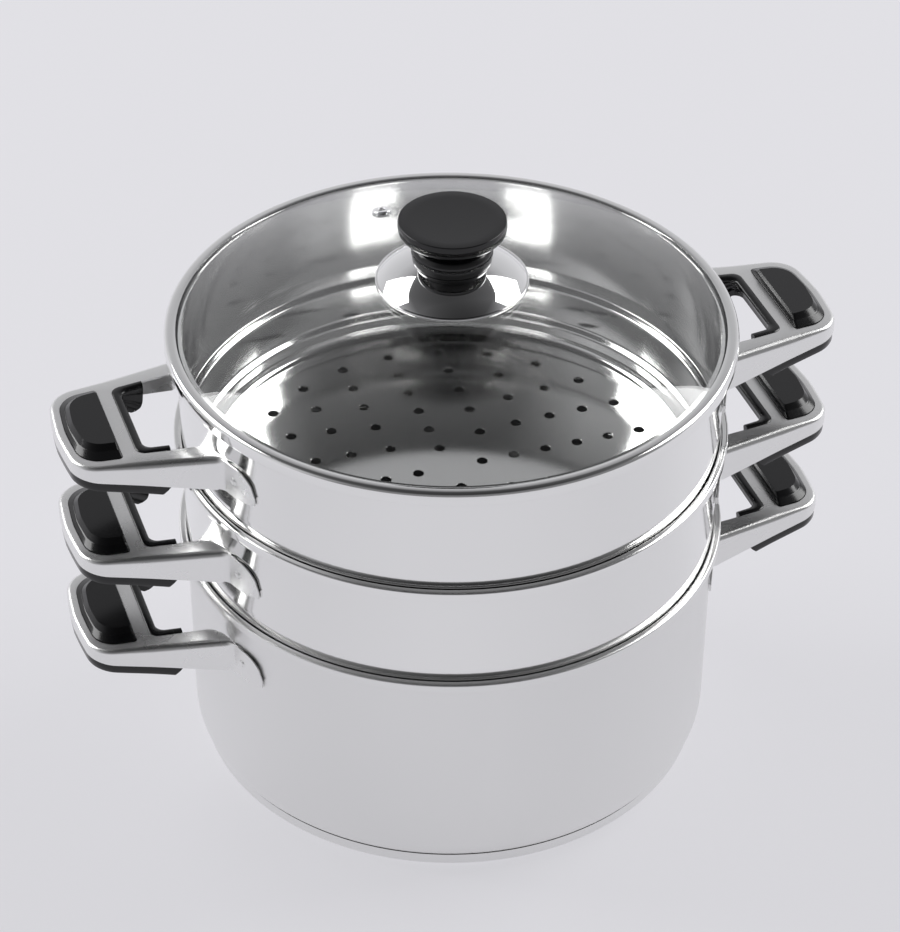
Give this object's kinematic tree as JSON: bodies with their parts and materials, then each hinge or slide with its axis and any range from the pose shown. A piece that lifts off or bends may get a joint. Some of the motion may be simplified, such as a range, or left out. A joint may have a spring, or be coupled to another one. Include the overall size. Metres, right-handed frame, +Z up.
{
  "type": "steamer pot",
  "caption": "Cooking pot with nested perforated steamer baskets, looped side handles with moulded grips, and a domed glass lid with a knob and a steam vent.",
  "frame": {"origin": "on the pot's axis, in the plane that the base stands on", "axes": "+Z up along the axis, +X through the handles, +Y away from the side that the picture shows"},
  "size_m": [0.386, 0.2724, 0.2908],
  "materials": {
    "satin_steel": "satin stainless steel",
    "polished_steel": "polished stainless steel",
    "chrome": "mirror bright",
    "base_aluminium": "as rolled",
    "bakelite": "moulded black bakelite, half gloss",
    "glass": "clear tempered glass",
    "seal": "matt"
  },
  "bodies": {
    "pot": {"pot_body": "satin_steel", "base_core": "base_aluminium", "base_cap": "satin_steel", "pot_right_handle_shell": "satin_steel", "pot_right_handle_grip": "bakelite", "pot_right_handle_nut": "satin_steel", "pot_right_handle_screw": "satin_steel", "pot_left_handle_shell": "satin_steel", "pot_left_handle_grip": "bakelite", "pot_left_handle_nut": "satin_steel", "pot_left_handle_screw": "satin_steel"},
    "lower_basket": {"lower_basket_body": "polished_steel", "lower_basket_right_handle_shell": "satin_steel", "lower_basket_right_handle_grip": "bakelite", "lower_basket_right_handle_nut": "satin_steel", "lower_basket_right_handle_screw": "satin_steel", "lower_basket_left_handle_shell": "satin_steel", "lower_basket_left_handle_grip": "bakelite", "lower_basket_left_handle_nut": "satin_steel", "lower_basket_left_handle_screw": "satin_steel"},
    "upper_basket": {"upper_basket_body": "polished_steel", "upper_basket_right_handle_shell": "satin_steel", "upper_basket_right_handle_grip": "bakelite", "upper_basket_right_handle_nut": "satin_steel", "upper_basket_right_handle_screw": "satin_steel", "upper_basket_left_handle_shell": "satin_steel", "upper_basket_left_handle_grip": "bakelite", "upper_basket_left_handle_nut": "satin_steel", "upper_basket_left_handle_screw": "satin_steel"},
    "lid": {"lid_glass": "glass", "lid_band": "polished_steel", "steam_vent": "chrome", "knob_escutcheon": "chrome", "knob": "bakelite", "knob_gasket": "seal", "knob_washer": "satin_steel", "knob_screw": "satin_steel"}
  },
  "joints": [
    {"name": "lower_basket_lift", "type": "slide", "parent": "pot", "child": "lower_basket", "axis": [0, 0, 1], "range_m": [0, 0.06]},
    {"name": "upper_basket_lift", "type": "slide", "parent": "lower_basket", "child": "upper_basket", "axis": [0, 0, 1], "range_m": [0, 0.06]},
    {"name": "lid_lift", "type": "slide", "parent": "upper_basket", "child": "lid", "axis": [0, 0, 1], "range_m": [0, 0.06]}
  ]
}
